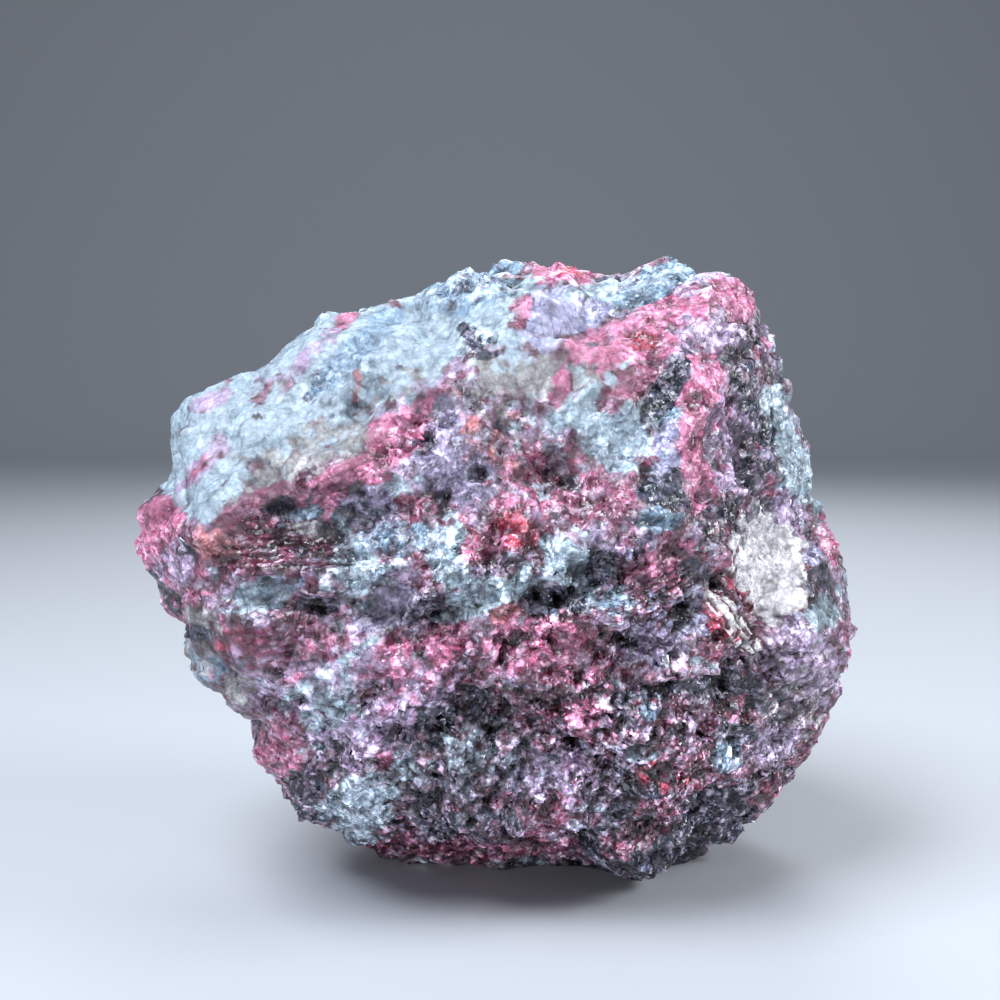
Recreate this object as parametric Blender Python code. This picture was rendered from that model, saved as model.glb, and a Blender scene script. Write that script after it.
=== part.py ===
"""Rough rhodonite: a fist-sized lump of pink rhodonite, white quartz and black manganese oxide.

The lump is one piece, broken from its vein. It starts as a fine ball, and each point of the ball moves
until it lies on the stone: on the widest outline, or on the fracture face that cuts in furthest, and then
on the scars, hollows, ledges and lumps in those faces. A last flat cut gives the face that it rests on.

Frame: metres, +Z up, the front looks along -Y, and the origin is at the middle of the box, at the base.
A direction from the stone's middle is (azimuth, elevation) in degrees. Azimuth 0 is the front, 90 is +X
and 180 is the back.
"""

import math

import bmesh
import bpy
import numpy as np
from mathutils import Vector, noise

MM = 0.001
UP = (0, 0, 1)

# The middle of the stone, which all reaches are measured from, is this far over the base.
MIDDLE_HEIGHT = 39.0

# The widest outline, seen from the front and clockwise from the left: (x, height over the base, y), in mm.
OUTLINE = [
    (-45.8, 45.0, 4),
    (-44.0, 48.8, 2),
    (-40.4, 52.2, 0),
    (-39.2, 56.6, -2),
    (-38.5, 61.5, -4),
    (-36.0, 63.0, -4),
    (-30.6, 64.0, -4),
    (-26.6, 64.6, -4),
    (-20.6, 71.2, -4),
    (-15.5, 72.4, -4),
    (-9.6, 72.8, -4),
    (-6.0, 74.4, -4),
    (-3.4, 76.9, -4),
    (-1.0, 77.6, -3),
    (7.5, 78.0, -1),
    (12.0, 76.0, 0),
    (15.5, 76.0, 0),
    (21.0, 78.0, 0),
    (24.0, 76.5, -2),
    (28.0, 78.0, -5),
    (31.5, 76.0, -5),
    (34.0, 71.0, -5),
    (34.4, 63.5, -4),
    (35.6, 57.5, -2),
    (39.6, 50.2, 0),
    (44.0, 37.5, 3),
    (45.0, 32.5, 3),
    (44.8, 27.5, 3),
    (44.0, 22.5, 3),
    (41.0, 12.0, 6),
    (37.0, 5.5, 12),
    (31.0, 0.8, 12),
    (24.0, -6.0, 0),
    (0.0, -10.0, 0),
    (-21.0, -1.0, -1),
    (-26.0, 7.0, -1),
    (-28.0, 11.5, -3),
    (-30.0, 16.0, -2),
    (-31.0, 21.8, -2),
    (-34.6, 24.6, -2),
    (-41.6, 28.6, 0),
    (-45.8, 36.8, 3),
    (-45.6, 41.0, 4),
]
OUTLINE_TAPER = 0.32  # mm that the outline closes in for each mm ahead of its widest line, or behind it

# Fracture faces: (azimuth, elevation, distance from the middle in mm).
FRACTURES = {
    "front, leaning under": (-3, -20, 27.7),
    "front, upper": (0, 18, 29.5),
    "upper left slab": (-30, 42, 35.0),
    "top": (0, 84, 39.2),
    "pink shoulder": (14, 44, 36.0),
    "right cheek": (48, 8, 35.3),
    "silvery cleavage": (40, 14, 33.4),
    "right, below the ledge": (38, -30, 32.7),
    "front right foot": (42, -42, 37.5),
    "left cheek": (-62, -12, 38.6),
    "lower left": (-45, -38, 35.8),
    "rim under the front": (-14, -57, 31.8),
    "back": (182, 4, 33.2),
    "back, upper right": (142, 34, 36.5),
    "back, upper left": (222, 30, 34.5),
    "back, lower": (172, -38, 42.5),
    "back, right": (124, -4, 42.5),
    "back, left": (246, -8, 40.5),
    "back, lower left": (232, -44, 38.5),
    "underside": (170, -87, 44.0),
}
EDGE_SHARPNESS = 30  # a higher value leaves sharper edges between the faces
GRAZING = 0.1  # a way whose cosine to a plane's normal is under this never meets it

# What is knocked into the faces, in degrees and mm:
# (kind, azimuth, elevation, roll, half length, half width, depth).
# The roll turns the length up from level, anticlockwise as seen from outside. A negative depth stands out.
# A ledge's length lies along its edge, and the rock is cut back on the edge's upper side.
RELIEF = {
    "crease down the slab": ("hollow", -35, 44, 48, 13, 2.6, 1.0),
    "slab end": ("lump", -62, 26, 35, 10, 7, -0.6),
    "swelling of the slab": ("lump", -62, 41, 40, 11, 8, -1.7),
    "left lobe": ("lump", -82, 6, 10, 9, 7, -1.7),
    "notch over the left lobe": ("hollow", -76, 19, -30, 6, 3, 2.0),
    "pink streak": ("lump", -23, 27, 28, 12, 3.4, -1.8),
    "hollow under the pink streak": ("hollow", -34, 17, 14, 9, 3.4, 4.2),
    "dark patch": ("hollow", -24, 20, 30, 5, 3.6, 1.8),
    "first ledge": ("ledge", -34, 9, 6, 11, 6, 2.2),
    "second ledge": ("ledge", -40, 0, -6, 10, 6, 2.0),
    "white ridge": ("lump", -8, 10, 75, 8, 3.2, -2.0),
    "smoky crystal": ("scar", -20, 3, 28, 5, 3.4, 1.0),
    "hollow beneath the smoky crystal": ("hollow", -13, -2, 32, 7, 3, 3.4),
    "round red crystal": ("lump", 2, 14, 0, 5, 4.4, -1.4),
    "black pit": ("hollow", 11, 3, 20, 5, 3.2, 2.6),
    "quartz knob": ("lump", 14, 10, 50, 4.4, 3.6, -1.8),
    "hollow right of the centre": ("hollow", 23, 6, -25, 6.5, 4, 3.2),
    "striated block": ("scar", 36, 4, 32, 9, 6.5, 1.2),
    "grey hollow": ("hollow", 28, -7, 10, 6, 4.6, 2.4),
    "edge of the grey zone": ("ledge", 9, 33, -42, 9, 6, 1.8),
    "black flake": ("hollow", 34, 37, 58, 8, 3.2, 2.2),
    "pink mass": ("lump", 48, 31, 96, 13, 5.5, -2.2),
    "groove beside the pink mass": ("hollow", 63, 28, 108, 13, 3, 2.6),
    "silvery cleavage": ("scar", 61, 5, 60, 13, 8.5, 1.8),
    "ledge under the silvery cleavage": ("ledge", 52, -13, 186, 14, 9, 3.4),
    "hole under the ledge": ("hollow", 57, -19, 0, 5, 3, 2.4),
    "bowl in the top": ("hollow", 36, 58, 20, 8, 5.5, 2.6),
    "left peak": ("lump", -20, 74, 0, 7, 5, -1.2),
    "right peak": ("lump", 62, 52, 0, 6, 5, -1.4),
    "dark band": ("hollow", -6, -27, 8, 13, 4, 1.8),
    "slanting ridge": ("ledge", 15, -42, 50, 8, 5, 1.8),
    "lower left ledge": ("ledge", -52, -22, -34, 12, 7, 2.0),
    "front foot": ("lump", 66, -58, 20, 8.5, 7, -2.4),
    "gap beside the front foot": ("hollow", 82, -77, 90, 8.5, 4.8, 6.0),
    "notch low on the right": ("hollow", 72, -46, -30, 7, 4, 3.6),
    "left side ledge": ("ledge", 262, 24, -66, 15, 9, 2.8),
    "left side flake": ("scar", 264, -20, 20, 13, 9, 2.4),
    "back flake": ("scar", 196, 20, 30, 19, 13, 3.0),
    "back ledge": ("ledge", 168, -6, -12, 22, 12, 3.6),
    "back hollow": ("hollow", 208, -14, 24, 12, 7, 4.0),
    "back vein": ("lump", 222, 34, 62, 16, 3.4, -1.8),
    "back swelling": ("lump", 184, -38, 0, 12, 7, -2.4),
    "right side step": ("ledge", 108, 14, 74, 17, 10, 3.0),
    "right side hollow": ("hollow", 100, -14, -18, 10, 6, 3.2),
    "top flake": ("scar", 168, 66, 12, 13, 10, 1.8),
    "top cleft": ("hollow", 228, 66, 40, 13, 3.2, 2.2),
}

FEATURE_SIDE = 0.5  # a feature ends where the cosine to its middle falls to this
FAR_OFF = 9.0  # so many half lengths from a feature's middle is well outside it
FEATURE_MIDDLE = 0.998  # ways whose cosine to a feature's middle is over this give the reach there
BOWL_POWER = 1.5  # over 1, a hollow or a lump runs smoothly into the face around it
LEDGE_DROP = 0.16  # how wide a ledge's own drop is, as a share of its half width
SCAR_EDGE = 0.33  # how wide the edge of a scar is, as a share of its half width

# Broken chunks of the rock, from large to small: (size, tilt, step), in mm, mm per mm and mm.
CHUNKS = [(12.0, 0.16, 1.4), (5.5, 0.22, 0.9)]
CHUNK_BORDER = 0.16  # the width of the slope between two chunks, as a share of their size
TILT_DRAW, STEP_DRAW = Vector((7, 3, 5)), Vector((2, 9, 4))  # shifts that keep a chunk's two draws apart
GRAIN_SIZE, GRAIN_DEPTH = 2.4, 0.35  # the finest roughness that the solid holds, in mm

BALL_DIVISIONS = 7
MOST_TRIANGLES = 9600

STONE_COLOUR = (0.42, 0.17, 0.20, 1.0)
STONE_ROUGHNESS = 0.5


def direction(azimuth, elevation):
    """The unit vector that points this way from the middle."""
    turn, rise = math.radians(azimuth), math.radians(elevation)
    return np.array([math.sin(turn) * math.cos(rise), -math.cos(turn) * math.cos(rise), math.sin(rise)])


def meets(distance, facing):
    """How far each way goes before it meets a surface at this distance, or very far if it only grazes it."""
    distance = np.broadcast_to(distance, facing.shape)
    return np.divide(distance, facing, out=distance / GRAZING, where=facing > GRAZING)


def outline_reach(ways):
    """How far the outline lets the stone reach along each unit vector, in mm."""
    x, height, y = np.array(OUTLINE, float).T
    turn = np.degrees(np.arctan2(height - MIDDLE_HEIGHT, x))
    order = np.argsort(turn)
    across = np.hypot(ways[:, 0], ways[:, 2])
    at = np.degrees(np.arctan2(ways[:, 2], ways[:, 0]))
    widest = np.interp(at, turn[order], np.hypot(x, height - MIDDLE_HEIGHT)[order], period=360)
    widest_y = np.interp(at, turn[order], y[order], period=360)
    ahead = meets(widest - OUTLINE_TAPER * widest_y, across - OUTLINE_TAPER * ways[:, 1])
    behind = meets(widest + OUTLINE_TAPER * widest_y, across + OUTLINE_TAPER * ways[:, 1])
    return np.minimum(ahead, behind)


def least_of(reaches):
    """The least reach in each direction, with the edges between the faces worn a little round."""
    return np.sum([reach**-EDGE_SHARPNESS for reach in reaches], axis=0) ** (-1 / EDGE_SHARPNESS)


def smooth_step(share):
    share = np.clip(share, 0, 1)
    return share * share * (3 - 2 * share)


def shares_of(ways, centre, roll, half_length, half_width):
    """How far each way is along a feature and across it, in its half lengths and half widths."""
    level = np.cross(UP, centre)
    level /= np.linalg.norm(level)
    upward = np.cross(centre, level)
    turn = math.radians(roll)
    along = math.cos(turn) * level + math.sin(turn) * upward
    across = math.cos(turn) * upward - math.sin(turn) * level
    facing = ways @ centre
    near = np.maximum(facing, FEATURE_SIDE)
    s = np.where(facing > FEATURE_SIDE, ways @ along / near / half_length, FAR_OFF)
    t = np.where(facing > FEATURE_SIDE, ways @ across / near / half_width, FAR_OFF)
    return s, t


def add_relief(ways, reach, feature):
    """Cuts one scar, hollow, ledge or lump into the reaches."""
    kind, azimuth, elevation, roll, half_length, half_width, depth = feature
    centre = direction(azimuth, elevation)
    middle_reach = np.median(reach[ways @ centre > FEATURE_MIDDLE])
    s, t = shares_of(ways, centre, roll, half_length / middle_reach, half_width / middle_reach)
    inside = np.clip(1 - s * s - t * t, 0, 1)
    if kind == "ledge":
        cut_back = smooth_step(t / LEDGE_DROP + 0.5) * smooth_step(1 - t) * smooth_step(2 - 2 * np.abs(s))
        return reach - depth * cut_back
    if kind == "scar":
        flat = np.minimum(meets(middle_reach - depth, ways @ centre), reach)
        return reach + (flat - reach) * smooth_step(inside / SCAR_EDGE)
    return reach - depth * inside**BOWL_POWER


def chunk_height(place, size, tilt, step):
    """The height of rock that has broken in chunks of one size, each flat and with a tilt of its own."""
    distances, seeds = noise.voronoi(place / size)
    heights = []
    for seed in seeds[:2]:
        lean = 2 * noise.cell_vector(seed + TILT_DRAW) - Vector((1, 1, 1))
        level = step / 2 * noise.cell(seed + STEP_DRAW)
        heights.append(level + tilt * size * lean.dot(place / size - seed))
    share = (1 + float(smooth_step((distances[1] - distances[0]) / CHUNK_BORDER))) / 2
    return heights[0] * share + heights[1] * (1 - share)


def roughness_at(place):
    """How far the broken rock stands out from its face here, in mm."""
    height = sum(chunk_height(place, *chunk) for chunk in CHUNKS)
    return height + GRAIN_DEPTH * noise.noise(place / GRAIN_SIZE)


def reaches(ways):
    """How far the stone reaches along each unit vector, in mm."""
    faces = [meets(distance, ways @ direction(*way)) for *way, distance in FRACTURES.values()]
    reach = least_of([outline_reach(ways), *faces])
    for feature in RELIEF.values():
        reach = add_relief(ways, reach, feature)
    places = ways * reach[:, None]
    return reach + np.array([roughness_at(Vector(place)) for place in places])


def shaped_ball():
    """The whole stone as a fine mesh object, before its resting face is cut."""
    bpy.ops.mesh.primitive_ico_sphere_add(subdivisions=BALL_DIVISIONS, radius=1.0)
    ball = bpy.context.object
    points = np.empty(len(ball.data.vertices) * 3)
    ball.data.vertices.foreach_get("co", points)
    ways = points.reshape(-1, 3)
    ways /= np.linalg.norm(ways, axis=1)[:, None]
    places = ways * reaches(ways)[:, None] + [0, 0, MIDDLE_HEIGHT]
    ball.data.vertices.foreach_set("co", (places * MM).ravel())
    ball.data.update()
    return ball


def lightened(obj, most_triangles):
    """The object's mesh with fewer triangles: small ones at edges and ledges, large ones on flat rock."""
    fewer = obj.modifiers.new("fewer_triangles", "DECIMATE")
    fewer.ratio = most_triangles / len(obj.data.polygons)
    return bpy.data.meshes.new_from_object(obj.evaluated_get(bpy.context.evaluated_depsgraph_get()))


def joined_to(start):
    """The vertices that edges join to this one."""
    joined, ahead = {start}, [start]
    while ahead:
        vertex = ahead.pop()
        found = {edge.other_vert(vertex) for edge in vertex.link_edges} - joined
        joined |= found
        ahead += found
    return joined


def cut_resting_face(mesh):
    """Cuts the mesh off flat at the base and closes the cut with flat faces.

    A dent in the underside that stays over the cut is loose from the rest, and is removed before that.
    """
    bm = bmesh.new()
    bm.from_mesh(mesh)
    everything = bm.verts[:] + bm.edges[:] + bm.faces[:]
    bmesh.ops.bisect_plane(bm, geom=everything, plane_co=(0, 0, 0), plane_no=UP, clear_inner=True)
    stone = joined_to(max(bm.verts, key=lambda vertex: vertex.co.z))
    bmesh.ops.delete(bm, geom=[vertex for vertex in bm.verts if vertex not in stone], context="VERTS")
    bmesh.ops.holes_fill(bm, edges=[edge for edge in bm.edges if edge.is_boundary])
    bmesh.ops.recalc_face_normals(bm, faces=bm.faces)
    bm.to_mesh(mesh)
    bm.free()


def centre_on_base(mesh):
    """Moves the mesh so that the middle of its box is over the origin."""
    points = np.array([vertex.co for vertex in mesh.vertices])
    low, high = points.min(axis=0), points.max(axis=0)
    for vertex in mesh.vertices:
        vertex.co -= Vector(((low[0] + high[0]) / 2, (low[1] + high[1]) / 2, 0))


def stone_material():
    material = bpy.data.materials.new("rhodonite_and_quartz")
    material.use_nodes = True
    shader = material.node_tree.nodes["Principled BSDF"]
    shader.inputs["Base Color"].default_value = STONE_COLOUR
    shader.inputs["Roughness"].default_value = STONE_ROUGHNESS
    shader.inputs["Metallic"].default_value = 0.0
    return material


def main():
    for obj in list(bpy.data.objects):
        bpy.data.objects.remove(obj)
    collection = bpy.data.collections.new("rough_rhodonite")
    bpy.context.scene.collection.children.link(collection)

    ball = shaped_ball()
    mesh = lightened(ball, MOST_TRIANGLES)
    bpy.data.objects.remove(ball)
    cut_resting_face(mesh)
    centre_on_base(mesh)

    stone = bpy.data.objects.new("rhodonite_stone", mesh)
    mesh.materials.clear()
    mesh.materials.append(stone_material())
    collection.objects.link(stone)


main()
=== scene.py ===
"""The looks of the rough rhodonite: its fine broken surface, its mineral grains and their colours.

One fine closed mesh stands for the stone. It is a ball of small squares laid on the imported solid, and
then broken up by chunks, cleavage steps and pits that are too small for the solid. Each point of it also
holds how much of each mineral is there. The material reads these amounts and breaks their borders up,
grain by grain. Thousands of small cuboids, mostly sunk in the surface, are the grains that stand out.

Distances here are in mm unless a name says otherwise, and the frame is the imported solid's own.
"""

import math

import bpy
import numpy as np
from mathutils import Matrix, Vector, noise
from mathutils.bvhtree import BVHTree


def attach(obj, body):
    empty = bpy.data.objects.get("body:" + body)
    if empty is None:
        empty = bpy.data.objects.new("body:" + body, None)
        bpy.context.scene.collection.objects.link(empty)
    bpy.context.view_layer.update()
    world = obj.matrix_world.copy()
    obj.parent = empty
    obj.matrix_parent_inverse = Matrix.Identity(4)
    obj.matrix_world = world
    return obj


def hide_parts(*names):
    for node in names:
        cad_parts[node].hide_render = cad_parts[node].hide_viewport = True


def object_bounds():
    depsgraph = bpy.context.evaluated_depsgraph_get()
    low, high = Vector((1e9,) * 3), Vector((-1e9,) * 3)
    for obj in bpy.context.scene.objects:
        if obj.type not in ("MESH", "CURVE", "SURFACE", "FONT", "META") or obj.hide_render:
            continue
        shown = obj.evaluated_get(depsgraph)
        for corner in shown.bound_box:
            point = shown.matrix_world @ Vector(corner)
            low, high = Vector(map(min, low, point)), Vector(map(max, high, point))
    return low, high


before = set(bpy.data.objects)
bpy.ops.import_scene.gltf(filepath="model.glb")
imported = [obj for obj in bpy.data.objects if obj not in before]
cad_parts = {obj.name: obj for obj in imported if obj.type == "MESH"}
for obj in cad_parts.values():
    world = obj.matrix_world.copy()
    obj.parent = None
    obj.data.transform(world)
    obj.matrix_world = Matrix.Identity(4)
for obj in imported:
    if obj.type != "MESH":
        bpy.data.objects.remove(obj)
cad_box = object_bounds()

MM = 0.001
NODE = "rhodonite_stone"
BODY = "root"

# The camera, at the photograph's viewing angle. Its picture is PICTURE pixels wide and high.
PICTURE = 1000
FOCAL_PIXELS = 1374
SENSOR_WIDTH = 36.0
CAMERA_PLACE = Vector((0.0, -173.0, 66.0))
CAMERA_PITCH = math.radians(6)
CLIP_START = 0.01  # in metres

# The fine surface: a ball of six sides, each BALL_SIDE squares wide, around the stone's middle.
STONE_MIDDLE = Vector((-0.35, -2.73, 39.0))
BALL_SIDE = 128
MAP_MARGIN = 0.004
BASE_START, BASE_FADE = 0.2, 1.6  # the height over the table where the relief starts, and its fade

# What is seen from the front: (mineral, x, y, half length, half width, roll, amount), in pixels of the
# picture. The roll turns the length up from level, anticlockwise. The amount is added where the patch is
# strongest, and an amount under zero takes the mineral away.
FRONT_PATCHES = {
    "slab": ("quartz", 300, 400, 170, 62, 27, 1.0),
    "slab, upper end": ("quartz", 430, 325, 115, 45, 22, 1.0),
    "slab, right end": ("quartz", 545, 340, 85, 46, -10, 0.55),
    "slab, right end, lilac": ("lilac", 560, 330, 50, 36, 0, 0.5),
    "slab, right end, tan": ("tan", 545, 372, 60, 22, 0, 0.6),
    "slab, lower left": ("quartz", 205, 470, 55, 45, 60, 0.8),
    "slab, tan middle": ("tan", 302, 452, 88, 28, 25, 0.7),
    "slab, tan spots": ("tan", 450, 345, 45, 25, 20, 0.4),
    "slab, top pink": ("rose", 344, 316, 16, 9, 40, 0.8),
    "slab, top pink, pale": ("pale", 318, 342, 34, 9, 45, 0.6),
    "slab, pink by the crease": ("coral", 352, 390, 22, 8, 80, 0.8),
    "slab, tan by the crease": ("tan", 395, 384, 32, 14, 20, 0.6),
    "slab, lilac pink": ("pale", 276, 380, 42, 15, 25, 0.55),
    "slab, pink spot": ("rose", 272, 388, 26, 9, 25, 0.4),
    "slab, pink spot by the end": ("pale", 209, 398, 24, 10, 30, 0.75),
    "slab, low pink": ("pale", 202, 460, 36, 12, 50, 0.8),
    "slab, low rose": ("rose", 196, 466, 22, 7, 50, 0.45),
    "slab, blue specks": ("dark", 318, 372, 22, 7, 35, 0.4),
    "slab, tiny specks": ("dark", 256, 415, 8, 4, 0, 0.7),
    "slab, crease": ("dark", 343, 358, 62, 6, 42, 0.75),
    "slab, blue crease": ("blue", 357, 343, 66, 12, 42, 1.2),
    "slab, black specks": ("dark", 474, 337, 20, 8, -50, 0.9),
    "slab, more black specks": ("dark", 490, 350, 15, 4, 10, 1.0),
    "slab, small specks": ("dark", 255, 462, 14, 7, 0, 0.45),
    "top, blue dark": ("blue", 474, 280, 44, 20, 20, 1.7),
    "top, blue dark specks": ("dark", 474, 284, 42, 16, 20, 0.45),
    "left edge, blue dark": ("dark", 148, 494, 12, 9, 60, 0.9),
    "left edge, red": ("rose", 158, 523, 26, 22, 90, 1.2),
    "left edge, pink": ("pale", 172, 560, 28, 18, 90, 0.8),
    "left edge, dark spot": ("dark", 180, 546, 11, 7, 90, 0.7),
    "coral": ("coral", 222, 540, 38, 20, 10, 1.1),
    "coral, wine": ("wine", 235, 525, 50, 14, 20, 0.6),
    "maroon crystals": ("wine", 262, 505, 48, 18, 25, 1.2),
    "magenta crystal": ("rose", 396, 432, 30, 24, 45, 1.6),
    "magenta crystal, red foot": ("red", 370, 456, 22, 8, 30, 0.9),
    "pink streak": ("rose", 345, 480, 62, 18, 28, 1.5),
    "pale pink over the streak": ("pale", 425, 402, 50, 20, 20, 0.6),
    "pink over the streak": ("rose", 430, 405, 40, 18, 20, 0.5),
    "quartz under the streak": ("quartz", 425, 460, 40, 18, 20, 0.4),
    "grey beside the quartz": ("grey", 465, 440, 60, 45, 50, 0.85),
    "grey, brown part": ("wine", 405, 508, 26, 14, 10, 0.6),
    "dark crystal": ("grey", 362, 505, 26, 22, 30, 1.2),
    "dark crystal's shade": ("dark", 362, 508, 24, 18, 30, 0.35),
    "slate blue": ("blue", 300, 513, 22, 7, 5, 1.2),
    "tan grain": ("tan", 306, 530, 24, 10, 5, 1.2),
    # Painted shade in the recess under the pink streak.
    "hollow": ("dark", 285, 501, 24, 8, 20, 0.7),
    "maroon laminae": ("wine", 275, 556, 58, 26, 3, 1.5),
    "maroon laminae, shade": ("dark", 290, 562, 50, 18, 3, 0.45),
    "blue quartz": ("blue", 262, 592, 34, 18, 20, 0.9),
    "blue quartz, white part": ("quartz", 255, 598, 36, 16, 20, 0.8),
    "light grey quartz": ("quartz", 352, 560, 24, 42, 15, 0.75),
    "light grey quartz, blue": ("blue", 400, 540, 50, 18, 0, 0.6),
    "smoky flat crystal": ("grey", 385, 608, 26, 20, 35, 2.2),
    "smoky flat crystal, no black": ("dark", 385, 608, 26, 20, 35, -0.4),
    "black hollow": ("dark", 428, 606, 36, 12, 25, 0.9),
    "white ridge": ("quartz", 452, 560, 20, 42, 10, 0.9),
    "round red": ("red", 513, 532, 22, 20, 0, 1.1),
    "red beside the ridge": ("rose", 485, 545, 24, 16, 40, 0.7),
    "quartz band": ("quartz", 485, 598, 50, 18, 15, 0.95),
    "coral in the band": ("coral", 507, 614, 18, 11, 10, 1.0),
    "quartz knob": ("quartz", 572, 563, 20, 26, 60, 1.6),
    "small quartz": ("quartz", 592, 598, 20, 16, 0, 0.7),
    "black beside the knob": ("dark", 604, 568, 15, 17, 90, 1.1),
    "maroon flake": ("wine", 634, 574, 15, 12, 0, 1.6),
    "black spot": ("dark", 559, 603, 26, 18, 0, 1.3),
    "blue dark by the flake": ("blue", 622, 600, 22, 18, 0, 0.9),
    "striated pink": ("rose", 660, 572, 34, 18, 40, 1.0),
    "striated lilac": ("lilac", 680, 606, 46, 36, 35, 2.0),
    "striated, no black": ("dark", 676, 600, 46, 40, 38, -0.5),
    "striated, magenta": ("rose", 672, 598, 40, 26, 35, 0.5),
    "striated, wine below": ("wine", 718, 652, 20, 12, 0, 1.2),
    "striated, red": ("red", 724, 622, 26, 14, 120, 1.4),
    "grey violet": ("grey", 648, 642, 34, 24, 10, 1.3),
    "dark stripe": ("dark", 718, 585, 36, 11, 137, 0.9),
    # The silvery cleavage: pale rock, painted near white with the sheen of its face.
    "silvery cleavage": ("silver", 780, 580, 80, 38, 112, 2.0),
    "silvery cleavage, foot": ("silver", 746, 634, 56, 12, 130, 1.6),
    "red beside the foot": ("red", 726, 626, 18, 9, 140, 1.1),
    "silvery cleavage, pink": ("pale", 790, 500, 26, 18, 100, 1.2),
    "silvery cleavage, red edge": ("rose", 778, 484, 20, 8, 70, 0.9),
    "silvery cleavage, red line": ("red", 748, 600, 34, 4, 128, 1.2),
    "dark grey beside it": ("dark", 824, 588, 32, 15, 100, 0.6),
    "lilac beside it": ("lilac", 815, 556, 12, 10, 0, 1.1),
    "white below it": ("quartz", 814, 630, 34, 20, 60, 1.1),
    "right edge, pink": ("rose", 830, 536, 32, 8, 110, 0.7),
    "right side, pale": ("blue", 768, 440, 66, 22, 112, 0.6),
    "right side, specks": ("dark", 766, 430, 70, 22, 112, 0.35),
    "right rim, white": ("quartz", 797, 455, 66, 16, 110, 1.1),
    "black band": ("dark", 758, 412, 42, 6, 120, 0.9),
    "black band, foot": ("dark", 745, 480, 30, 14, 60, 0.5),
    "speckled band": ("dark", 735, 365, 20, 34, 10, 0.42),
    "corner, pink": ("rose", 735, 298, 26, 17, 130, 1.0),
    "corner, grey": ("dark", 745, 335, 24, 13, 10, 0.5),
    "shoulder": ("rose", 655, 325, 75, 26, 22, 1.2),
    "shoulder, left": ("rose", 594, 338, 28, 22, 20, 0.75),
    "shoulder, pale": ("pale", 640, 318, 80, 26, 22, 0.45),
    "shoulder, deep red": ("red", 645, 338, 16, 9, 0, 1.7),
    "shoulder, right": ("pale", 712, 330, 26, 36, 90, 0.7),
    "top, lilac": ("lilac", 575, 300, 50, 26, 20, 1.2),
    "top, white": ("quartz", 610, 286, 44, 12, 5, 0.9),
    "top, red": ("rose", 567, 268, 32, 10, 0, 1.6),
    "top, deep red": ("red", 572, 268, 20, 6, 0, 0.6),
    "top, blue": ("blue", 652, 284, 34, 12, 25, 1.3),
    "top, blue knob": ("blue", 675, 266, 24, 9, 0, 0.9),
    "pink in the slab's end": ("rose", 520, 303, 12, 14, 0, 0.65),
    "wine in the slab's end": ("wine", 519, 318, 10, 7, 0, 0.7),
    "maroon under the shoulder": ("wine", 640, 382, 32, 18, 45, 1.2),
    "black flake": ("dark", 671, 388, 42, 15, 58, 2.0),
    "black flake, blue foot": ("blue", 668, 415, 18, 12, 30, 0.8),
    "pink mass": ("rose", 708, 400, 28, 48, 0, 1.8),
    "pink mass, lower": ("rose", 708, 450, 28, 54, 0, 1.2),
    "pink mass, no black": ("dark", 710, 425, 34, 74, 0, -0.8),
    "pink mass, pale side": ("pale", 728, 435, 24, 66, 5, 1.1),
    "lilac vein": ("lilac", 670, 452, 16, 30, -10, 1.4),
    "grey quartz": ("quartz", 610, 430, 50, 36, -30, 0.55),
    "pink at the edge": ("rose", 560, 385, 12, 28, -10, 0.8),
    "maroon by the edge": ("wine", 615, 400, 20, 16, 30, 0.7),
    "brown grey": ("tan", 510, 400, 50, 34, 0, 0.5),
    "brown grey, wine": ("wine", 508, 412, 50, 32, 0, 0.25),
    "pale in the grey": ("pale", 535, 435, 70, 38, 0, 0.45),
    "quartz in the grey": ("quartz", 550, 435, 70, 36, 0, 0.45),
    "coral in the grey": ("coral", 500, 440, 60, 34, 0, 0.35),
    "specks in the grey": ("dark", 540, 425, 50, 40, -30, 0.2),
    "middle, little black": ("dark", 535, 435, 120, 66, 0, -0.28),
    "middle, little wine": ("wine", 535, 425, 110, 56, 0, -0.2),
    "red specks": ("wine", 550, 460, 70, 30, 0, 0.35),
    "rose specks": ("rose", 545, 470, 80, 34, 0, 0.3),
    "red specks, lower": ("wine", 590, 500, 80, 26, 0, 0.55),
    "dark patch": ("dark", 668, 490, 26, 22, 0, 0.95),
    "blue white beneath": ("blue", 662, 518, 24, 12, 0, 0.9),
    "right, green grey": ("blue", 733, 515, 22, 24, 60, 0.5),
    "right, green grey specks": ("dark", 733, 515, 26, 26, 60, 0.4),
    "tan end": ("tan", 196, 650, 32, 40, -30, 0.8),
    "tan end, blue": ("blue", 214, 672, 44, 34, -35, 0.4),
    "black line": ("dark", 192, 634, 26, 6, -15, 1.4),
    "tan end, lower": ("tan", 232, 690, 22, 16, -40, 0.8),
    "dark red": ("red", 248, 650, 36, 22, -10, 0.5),
    "dark red, wine": ("wine", 255, 645, 44, 28, -10, 0.6),
    "dark red, right": ("wine", 292, 645, 44, 26, 0, 0.7),
    "vein": ("quartz", 326, 676, 70, 9, 33, 1.9),
    "vein, upper": ("quartz", 372, 655, 16, 16, 60, 0.8),
    "pinks": ("rose", 392, 650, 18, 18, 0, 1.1),
    "pinks, right": ("rose", 440, 648, 26, 14, 10, 0.9),
    "pale pinks": ("pale", 352, 702, 80, 48, 20, 1.9),
    "pinks among them": ("rose", 380, 690, 56, 30, 20, 0.35),
    "pinks, no black": ("dark", 370, 690, 90, 50, 20, -0.55),
    "white by the pinks": ("quartz", 325, 704, 40, 26, 30, 1.1),
    "dark by the pinks": ("dark", 362, 692, 12, 12, 0, 0.6),
    "low left pink": ("rose", 280, 745, 26, 34, 10, 0.8),
    "low left speckle": ("dark", 345, 757, 36, 24, 0, 0.35),
    "low left, white": ("quartz", 330, 735, 50, 22, 20, 0.4),
    "low left black": ("dark", 312, 800, 34, 24, -40, 0.6),
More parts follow.
